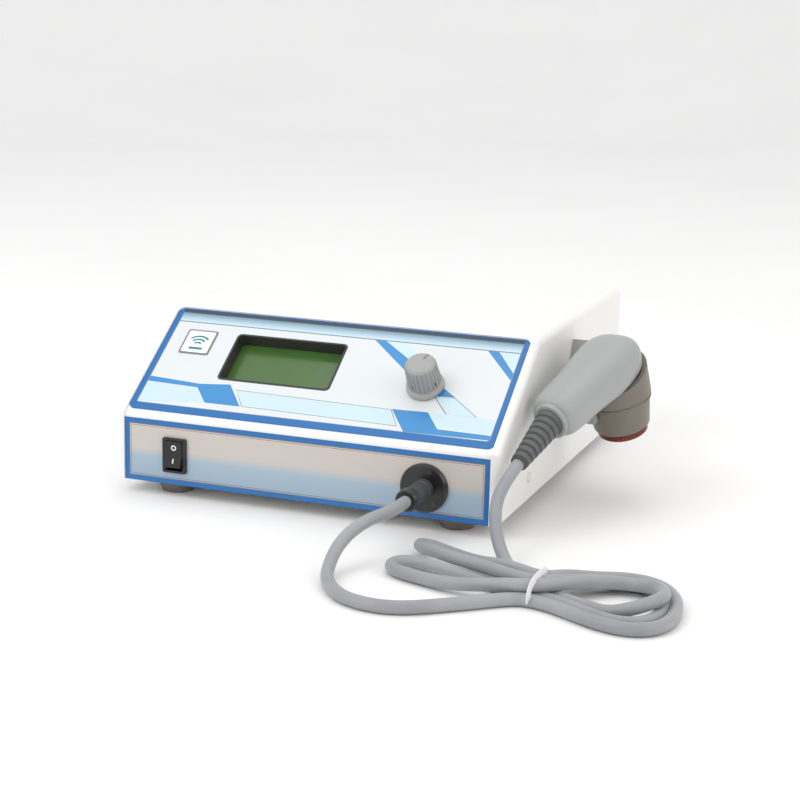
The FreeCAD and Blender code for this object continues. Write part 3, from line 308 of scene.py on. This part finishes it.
NODE_LOOKS = {
    "top_cover": "case_white", "base_tray": "case_white", "rear_panel": "rear_plate",
    "foot_front_left": "foot_rubber", "foot_front_right": "foot_rubber",
    "foot_rear_left": "foot_rubber", "foot_rear_right": "foot_rubber",
    "foot_screws": "screw_steel", "case_screws": "case_white",
    "front_label": "border", "slope_label": "border", "badge": "badge_ring",
    "window_frame": "window_dark", "display_glass": "display_green",
    "display_bezel": "pressed_metal", "display_board": "board_green",
    "control_knob": "knob_grey", "knob_set_screws": "dark_hole",
    "encoder_bush": "encoder_metal", "encoder_nut": "encoder_metal",
    "encoder_body": "encoder_case", "encoder_shaft": "encoder_metal", "push_pin": "encoder_metal",
    "switch_case": "switch_black", "rocker": "switch_black",
    "output_socket": "socket_black", "socket_screws": "dark_screw", "socket_nut": "screw_steel",
    "plug_shell": "plug_dark", "plug_cap": "socket_black",
    "mains_inlet": "inlet_black", "inlet_blades": "blade_brass",
    "fuse_drawer": "inlet_black", "fuse": "fuse_glass",
    "transformer_core": "core_steel", "transformer_winding": "winding_tape",
    "main_board": "board_green", "board_parts": "board_parts", "capacitors": "capacitor_sleeve",
    "output_board": "board_green", "heat_sink": "sink_aluminium",
    "power_transistors": "board_parts", "output_coil": "coil_wire", "board_screws": "screw_steel",
    "handset_top_shell": "handset_grey", "handset_lower_shell": "handset_grey",
    "handset_screws": "screw_steel", "head_housing": "head_grey",
    "handset_gasket": "gasket_black", "radiating_face": "face_copper", "face_seal": "gasket_black",
    "crystal": "crystal_ceramic", "handset_collar": "handset_grey", "strain_relief": "relief_grey",
    "handset_holder": "holder_grey", "holder_screws": "screw_steel",
    "cord_lead": "cord_grey", "cord_riser": "cord_grey", "cord_hank": "cord_grey",
    "twist_tie": "tie_white",
}


def dress_nodes():
    for name, look in NODE_LOOKS.items():
        for slot in NODES[name].material_slots:
            slot.material = LOOK[look]


# Mesh helpers ------------------------------------------------------------------------


def piece(name, mesh, body, looks):
    item = bpy.data.objects.new(name, mesh)
    bpy.context.scene.collection.objects.link(item)
    for look in looks:
        mesh.materials.append(LOOK[look])
    if body:
        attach(item, body)
    return item


def curve_object(name, points, thickness=0.0):
    """A NURBS curve with the route as its control points, in metres."""
    data = bpy.data.curves.new(name, "CURVE")
    data.dimensions = "3D"
    data.resolution_u = 8
    data.bevel_depth = thickness / 2
    data.bevel_resolution = 5
    data.use_fill_caps = True
    spline = data.splines.new("NURBS")
    spline.points.add(len(points) - 1)
    for target, point in zip(spline.points, points):
        target.co = (*point, 1)
    spline.order_u = 3
    spline.use_endpoint_u = True
    item = bpy.data.objects.new(name, data)
    bpy.context.scene.collection.objects.link(item)
    return item


def as_mesh(item):
    """The curve's evaluated mesh; the curve object itself is removed."""
    bpy.context.view_layer.update()
    graph = bpy.context.evaluated_depsgraph_get()
    mesh = bpy.data.meshes.new_from_object(item.evaluated_get(graph))
    bpy.data.objects.remove(item)
    return mesh


def anticlockwise(outline):
    """The outline in the turning sense that the triangulation counts as solid."""
    area = sum(ax * by - bx * ay for (ax, ay), (bx, by) in zip(outline, outline[1:] + outline[:1]))
    return outline if area > 0 else outline[::-1]


def print_sheet(name, place, height, layers, body="root"):
    """One flat sheet of ink: each layer is an outline and a look, and later ones cover earlier.
    A look of None leaves a hole. Outlines are in millimetres on the place's own plane."""
    spots, faces, looks = [], [], []
    for outline, look in layers:
        faces.append(list(range(len(spots), len(spots) + len(outline))))
        spots += [Vector(spot) for spot in anticlockwise(outline)]
        looks.append(look)
    flat, _, tiles, _, _, owners = delaunay_2d_cdt(spots, [], faces, 1, 1e-4)
    names = sorted({look for look in looks if look})
    mesh = bpy.data.meshes.new(name)
    kept = [(tile, looks[max(owner)]) for tile, owner in zip(tiles, owners) if owner]
    kept = [(tile, look) for tile, look in kept if look]
    corners = [place @ (Vector((spot.x, spot.y, height)) * MM) for spot in flat]
    mesh.from_pydata(corners, [], [tile for tile, _ in kept])
    for face, (_, look) in zip(mesh.polygons, kept):
        face.material_index = names.index(look)
    return piece(name, mesh, body, names)


def rectangle(x, y, width, height, corner=0.0, steps=6):
    """A rounded rectangle about a middle point, counter-clockwise."""
    if not corner:
        steps = 0
    spots = []
    for n, (across, up) in enumerate(((1, 1), (-1, 1), (-1, -1), (1, -1))):
        centre = (x + across * (width / 2 - corner), y + up * (height / 2 - corner))
        for step in range(steps + 1):
            turn = math.pi / 2 * (n + (step / steps if steps else 0))
            across_by, up_by = corner * math.cos(turn), corner * math.sin(turn)
            spots.append((centre[0] + across_by, centre[1] + up_by))
    return spots


def circle(x, y, radius, steps=48):
    turns = [2 * math.pi * n / steps for n in range(steps)]
    return [(x + radius * math.cos(turn), y + radius * math.sin(turn)) for turn in turns]


def band(points, width):
    """The outline of a stroke of one width along a few points."""
    left, right = [], []
    for n, point in enumerate(points):
        before, after = Vector(points[max(n - 1, 0)]), Vector(points[min(n + 1, len(points) - 1)])
        along = (after - before).normalized()
        side = Vector((-along.y, along.x)) * width / 2
        left.append(tuple(Vector(point) + side))
        right.append(tuple(Vector(point) - side))
    return left + right[::-1]


# Cord --------------------------------------------------------------------------------
# Control points in the cabinet's frame, millimetres. The hank is tied at x = 166 with six
# strands through the tie: three on the table and three on them.

CORD_DIA = 7 * MM
LEAD = [
    (75.6, -31, 26), (75.6, -50, 26), (66, -66, 24), (57, -79, 15), (57, -96, 5), (65, -114, 3.6),
    (81, -131, 3.6), (107, -135, 3.6), (134, -115, 3.6), (157, -95, 3.6), (166, -94.5, 3.6),
]
OUTER_TURN = [
    (177, -97.5, 3.6), (190, -104.5, 3.6), (205, -112.5, 3.6), (219.5, -115.5, 3.6),
    (231.5, -109.5, 3.6), (236.5, -96, 3.6), (236, -78, 3.6), (231, -59, 3.6), (219, -44, 3.6),
    (203, -41.5, 3.6), (188, -50, 4.5), (176, -64, 8.5), (166, -77, 10),
]
UPPER_FOLD = [
    (153, -70.5, 10.4), (140, -61.5, 8.5), (126, -52.5, 5), (112, -43.5, 3.8), (100, -36.5, 3.6),
    (91, -33.5, 4.4), (86.5, -39, 5.6), (92, -45.5, 6.8), (101, -51, 7.2), (110, -57, 7.6),
    (123, -65.5, 9), (139, -74.5, 10.2), (153, -81.5, 10.4), (166, -84, 10),
]
MIDDLE_TURN = [
    (177, -75, 9.5), (189, -60.5, 6.5), (203, -49.5, 3.8), (216.5, -51, 3.6), (226, -62.5, 3.6),
    (229.5, -77.5, 3.6), (229.5, -92.5, 3.6), (225.5, -102.5, 3.6), (216.5, -108, 3.6),
    (204, -105.5, 3.6), (190, -97.5, 3.6), (177, -90.5, 3.6), (166, -87.5, 3.6),
]
LOWER_FOLD = [
    (152, -84, 3.6), (136, -78, 3.6), (120, -71.5, 3.6), (106, -66, 3.6), (94, -62, 3.6),
    (85, -65, 3.8), (83, -74, 4), (90, -81, 4), (102, -85, 4), (117, -90, 4.4),
    (134, -92.5, 6.5), (151, -92.5, 9.2), (166, -91, 10.2),
]
INNER_TURN = [
    (178, -83.5, 10.4), (189, -68, 8.5), (202, -57.5, 6), (215, -57.5, 6.5), (225, -65.5, 9),
    (230.5, -80, 10.4), (226, -92.5, 10.4), (216.5, -98, 7.5), (205.5, -97.5, 4),
    (194, -92.5, 3.6), (180, -85.5, 3.6), (166, -80.5, 3.6),
]
RISER = [
    (158, -73.5, 3.8), (149, -63.5, 4.6), (138, -49, 7), (129, -35, 15), (124, -23, 26),
    (122.8, -6.75, 34.8), (126.79, 9.64, 43.53),
]


def make_cord():
    route = LEAD + OUTER_TURN + UPPER_FOLD + MIDDLE_TURN + LOWER_FOLD + INNER_TURN + RISER
    points = [cabinet(*point) for point in route]
    line = as_mesh(curve_object("cord_line", points))
    path = []
    for vertex in line.vertices:
        if not path or (vertex.co - path[-1]).length > 0.1 * MM:
            path.append(vertex.co.copy())
    tube = as_mesh(curve_object("cord_tube", points, CORD_DIA))
    tube.polygons.foreach_set("use_smooth", [True] * len(tube.polygons))
    tube.materials.clear()
    cord = piece("handset_cord", tube, None, ["cord_grey"])
    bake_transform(cord)
    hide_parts("cord_lead", "cord_riser", "cord_hank")
    length = sum((b - a).length for a, b in zip(path, path[1:]))
    print(f"cord length {length:.3f} m")
    return cord, path, length


def make_tie():
    """The flat plastic tie: one turn round the six strands, with a wire ridge along it."""
    around = [
        (166, -99.5, 6), (166.5, -99, 11.5), (167, -93, 14.2), (167.5, -84, 14.6),
        (168, -75, 14.2), (168.5, -72.5, 10.6), (168, -74.5, 5), (167.5, -76, 2.6),
        (166.5, -86, 2.5), (165.5, -96, 2.6),
    ]
    ring = bpy.data.curves.new("tie_ring", "CURVE")
    ring.dimensions = "3D"
    ring.resolution_u = 6
    ring.bevel_mode = "OBJECT"
    section = bpy.data.curves.new("tie_section", "CURVE")
    section.dimensions = "2D"
    outline = section.splines.new("NURBS")
    shape = [
        (1.9, 0), (1.9, 0.35), (0.6, 0.4), (0.4, 0.65), (-0.4, 0.65), (-0.6, 0.4),
        (-1.9, 0.35), (-1.9, -0.35), (1.9, -0.35),
    ]
    outline.points.add(len(shape) - 1)
    for target, (x, y) in zip(outline.points, shape):
        target.co = (x * MM, y * MM, 0, 1)
    outline.use_cyclic_u = True
    outline.order_u = 3
    profile = bpy.data.objects.new("tie_section", section)
    bpy.context.scene.collection.objects.link(profile)
    ring.bevel_object = profile
    spline = ring.splines.new("NURBS")
    spline.points.add(len(around) - 1)
    for target, point in zip(spline.points, around):
        target.co = (*cabinet(*point), 1)
    spline.use_cyclic_u = True
    spline.order_u = 3
    loop = bpy.data.objects.new("tie_ring", ring)
    bpy.context.scene.collection.objects.link(loop)
    mesh = as_mesh(loop)
    bpy.data.objects.remove(profile)
    mesh.materials.clear()
    mesh.polygons.foreach_set("use_smooth", [True] * len(mesh.polygons))
    tie = piece("cord_tie", mesh, "root", ["tie_white"])
    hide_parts("twist_tie")
    return tie


# Knob --------------------------------------------------------------------------------


def make_knob_ribs():
    """The moulded ribs up the knob's tapered body, each a low half round with soft ends."""
    ribs, low, high = 24, 4.4, 19.2
    foot_radius, top_radius, half_width, proud, sunk = 9.35, 8.65, 0.68, 0.7, 0.25
    profile = ((0, 0), (0.04, 0.8), (0.1, 1), (0.9, 1), (0.96, 0.8), (1, 0))
    facets = 6
    knob = SLOPE @ Matrix.Translation(Vector((*KNOB, 0)) * MM)
    knob = knob @ Matrix.Rotation(math.radians(KNOB_TURN), 4, "Z")
    form = bmesh.new()
    for n in range(ribs):
        turn = 2 * math.pi * (n + 0.5) / ribs
        out = Vector((math.cos(turn), math.sin(turn), 0))
        side = Vector((-math.sin(turn), math.cos(turn), 0))
        rings = []
        for up, scale in profile:
            radius = foot_radius + (top_radius - foot_radius) * up
            ring = []
            for step in range(facets + 1):
                bend = math.pi * step / facets
                reach = radius - sunk + (sunk + proud * scale) * math.sin(bend)
                spot = out * reach + side * half_width * math.cos(bend)
                spot.z = low + (high - low) * up
                ring.append(form.verts.new(knob @ (spot * MM)))
            rings.append(ring)
        for lower, upper in zip(rings, rings[1:]):
            for step in range(facets):
                form.faces.new((lower[step], upper[step], upper[step + 1], lower[step + 1]))
    for face in form.faces:
        face.smooth = True
    bmesh.ops.recalc_face_normals(form, faces=form.faces)
    mesh = bpy.data.meshes.new("knob_ribs")
    form.to_mesh(mesh)
    form.free()
    return piece("knob_ribs", mesh, "knob", ["knob_grey"])


# Printed labels ----------------------------------------------------------------------

INK = 0.06  # a mark's height over the face that it is printed on


def make_slope_print():
    """The sloped label: a blue border, a pale ground, a pale blue top band darkened towards the
    lip by painted shade, a dark strip of painted lip shadow and the blue figures.
    """
    wide, tall = PANEL_WIDTH, SLOPE_LENGTH
    middle_up = tall / 2
    edge = wide / 2
    layers = [(rectangle(0, middle_up, wide - 0.6, tall - 0.6, 4.2), "border")]
    inner = wide - 7.4
    layers += [
        (rectangle(0, middle_up + 1.2, inner, tall - 7.6, 2.2), "line"),
        (rectangle(0, middle_up + 1.2, inner - 0.9, tall - 8.5, 2.0), "ground"),
        # the top band: pale blue print with painted shade darkening it towards the lip
        (rectangle(0, 77.6, inner - 0.9, 7.2, 0), "band"),
        (rectangle(0, 73.6, inner - 0.9, 0.8, 0), "line"),
        # painted shadow of the top cover's lip: a dark strip along the label's top edge
        (rectangle(0, tall - 2.2, wide - 7, 2.6, 1.2), "lip_shade"),
    ]
    left, right = -edge + 4.2, edge - 4.2
    layers += [
        ([(left, 26.4), (left, 22.3), (-76.3, 21.2), (-75.9, 24.2)], "blue"),
        ([(left, 21.8), (left, 5.6), (-67.6, 9.7), (-76.9, 20.6)], "pale"),
        ([(-76.3, 24.2), (-76.3, 21.2), (-67.2, 10.1), (-44.4, 10.1), (-56.6, 26.2)], "blue"),
        ([(-51.4, 22.6), (47.2, 20.9), (54.2, 8.8), (-43.4, 10.2)], "line"),
        ([(-51.0, 22.2), (46.8, 20.5), (53.6, 9.2), (-43.1, 10.6)], "pale"),
        ([(47.3, 21.2), (69, 21.6), (78.2, 10), (right, 9.6), (right, 6.1), (59.1, 5.4)],
         "blue"),
        ([(69.8, 21.5), (right, 21.4), (right, 10.3), (78.6, 10.7)], "pale"),
        ([(20, 73.2), (27.2, 73.2), (81.8, 34.6), (69.2, 34.2), (45.6, 51.4)], "blue"),
        ([(27.8, 73.2), (40.6, 73.2), (52, 62), (48, 58.4)], "pale"),
        ([(69.0, 33.8), (82.0, 34.2), (98.4, 21.7), (79.4, 21.7)], "line"),
        ([(69.6, 33.7), (81.6, 33.9), (97.6, 21.8), (80.2, 21.8)], "pale"),
        ([(90.3, 73.2), (97.2, 73.2), (right, 57.6), (right, 51.8)], "blue"),
        ([(97.8, 73.2), (right, 73.2), (right, 58.4)], "pale"),
        (rectangle(*WINDOW, WINDOW_SIZE[0] + 0.6, WINDOW_SIZE[1] + 0.6, 3.2), "line"),
        (rectangle(*WINDOW, *WINDOW_SIZE, 3), None),
        (circle(*KNOB, 4.9), None),
    ]
    return print_sheet("slope_print", SLOPE, 0.05, layers)


def make_front_print():
    """The front label: a blue border, a double line and a ground that turns from blue to sand."""
    wide, tall = PANEL_WIDTH, FRONT_HEIGHT
    mid = tall / 2
    layers = [
        (rectangle(0, mid, wide - 0.4, tall - 0.4, 0.8), "border"),
        (rectangle(0, mid, wide - 6.2, tall - 6.0, 0.4), "warm_line"),
        (rectangle(0, mid, wide - 7.0, tall - 6.8, 0.3), "front_print"),
        (rectangle(0, mid, wide - 8.2, tall - 8.0, 0.3), "warm_line"),
        (rectangle(0, mid, wide - 8.8, tall - 8.6, 0.3), "front_print"),
        (rectangle(ROCKER_X, ROCKER_Z - FRONT_BOTTOM, 13.2, 20.2), None),
        (circle(SOCKET_X, SOCKET_Z - FRONT_BOTTOM, 10.1), None),
    ]
    return print_sheet("front_print", FRONT, 0.05, layers)


def make_rocker_marks():
    """The O and I of the power switch, on the two faces of its key."""
    upper_face = leaning(ROCKER_X, -2.2, ROCKER_Z + 4.9, 92.87)
    lower_face = leaning(ROCKER_X, -3.3, ROCKER_Z - 2.9, 70.88)
    ring = [(circle(0, 0, 1.7), "mark_white"), (circle(0, 0, 0.9), None)]
    print_sheet("switch_off_mark", upper_face, INK, ring, "rocker")
    bar = [(rectangle(0, 0, 0.9, 2.9, 0.2), "mark_white")]
    print_sheet("switch_on_mark", lower_face, INK, bar, "rocker")


def make_badge_print():
    """A generic mark: three rising sound arcs over a bar, in a rounded square."""
    x, y = BADGE
    layers = [
        (rectangle(x, y, 19.4, 19.4, 1.2), "badge_ring"),
        (rectangle(x, y, 17.6, 17.6, 0.8), "badge_white"),
        (rectangle(x, y - 5.4, 9, 1.8, 0.5), "badge_teal"),
    ]
    for radius in (3, 5.6, 8.2):
        turns = [math.radians(45 + 90 * n / 16) for n in range(17)]
        arc = [(x + radius * math.cos(turn), y - 3.6 + radius * math.sin(turn)) for turn in turns]
        layers.append((band(arc, 1.3), "badge_teal"))
    return print_sheet("badge_print", SLOPE, 0.56, layers)


# Stage -------------------------------------------------------------------------------


def make_stage():
    """A pale floor that is flat round the object and rises far behind it, without a horizon."""
    flat_reach, rise_reach, rise, steps, spokes = 2.4, 4.0, 2.2, 12, 72
    mesh = bpy.data.meshes.new("floor")
    form = bmesh.new()
    rings = []
    for step in range(steps + 1):
        part = step / steps
        reach = flat_reach + (rise_reach - flat_reach) * math.sin(part * math.pi / 2)
        height = rise * (1 - math.cos(part * math.pi / 2))
        turns = [2 * math.pi * n / spokes for n in range(spokes)]
        rings.append([form.verts.new((reach * math.cos(turn), reach * math.sin(turn), height))
                      for turn in turns])
    form.faces.new(rings[0])
    for inner, outer in zip(rings, rings[1:]):
        for n in range(spokes):
            after = (n + 1) % spokes
            form.faces.new((inner[n], outer[n], outer[after], inner[after]))
    for face in form.faces:
        face.smooth = True
    form.to_mesh(mesh)
    form.free()
    floor = bpy.data.objects.new("floor", mesh)
    bpy.context.scene.collection.objects.link(floor)
    graph = Graph("floor_white")
    stops = [(0.3, (0.90, 0.90, 0.90)), (0.7, (0.92, 0.92, 0.92))]
    graph.link(graph.ramp(graph.noise(3, 2.0), stops), graph.shader.inputs["Base Color"])
    graph.shader.inputs["Roughness"].default_value = 0.85
    mesh.materials.append(graph.material)
    world = bpy.data.worlds.new("studio")
    world.use_nodes = True
    world.node_tree.nodes["Background"].inputs["Color"].default_value = (1, 1, 1, 1)
    world.node_tree.nodes["Background"].inputs["Strength"].default_value = 0.9
    bpy.context.scene.world = world
    bpy.context.scene.view_settings.view_transform = "Standard"


def add_light(name, place, aim, size, power, colour=(1, 1, 1)):
    data = bpy.data.lights.new(name, "AREA")
    data.size = size
    data.energy = power
    data.color = colour
    light = bpy.data.objects.new(name, data)
    light.location = place
    light.rotation_euler = (Vector(aim) - Vector(place)).to_track_quat("-Z", "Y").to_euler()
    bpy.context.scene.collection.objects.link(light)


def make_lights():
    add_light("key", (-0.9, -1.3, 1.5), (0, 0, 0.05), 1.1, 9.5)
    add_light("top", (0.1, 0.2, 1.7), (0, 0, 0), 1.4, 4.5)
    add_light("side", (1.6, -0.6, 0.9), (0, 0, 0.05), 0.9, 4.5, (1, 0.9, 0.76))


def make_camera():
    azimuth, elevation, roll = (math.radians(angle) for angle in (20.16, 13.14, 1.45))
    flat = Vector((math.sin(azimuth), -math.cos(azimuth), 0))
    back = flat * math.cos(elevation) + Vector((0, 0, math.sin(elevation)))
    right = Vector((math.cos(azimuth), math.sin(azimuth), 0))
    up = back.cross(right)
    turned_right = right * math.cos(roll) + up * math.sin(roll)
    turned_up = up * math.cos(roll) - right * math.sin(roll)
    place = Matrix((turned_right, turned_up, back)).transposed().to_4x4()
    place.translation = cabinet(386.88, -891.36, 296.32)
    data = bpy.data.cameras.new("camera")
    data.lens = 78.87
    data.sensor_width = 36
    data.clip_start = 0.01
    camera = bpy.data.objects.new("camera", data)
    camera.matrix_world = place
    bpy.context.scene.collection.objects.link(camera)
    bpy.context.scene.camera = camera


make_camera()
make_stage()
make_lights()
dress_nodes()
cord, cord_path, cord_length = make_cord()
tie = make_tie()
make_knob_ribs()
make_slope_print()
make_front_print()
make_badge_print()
make_rocker_marks()
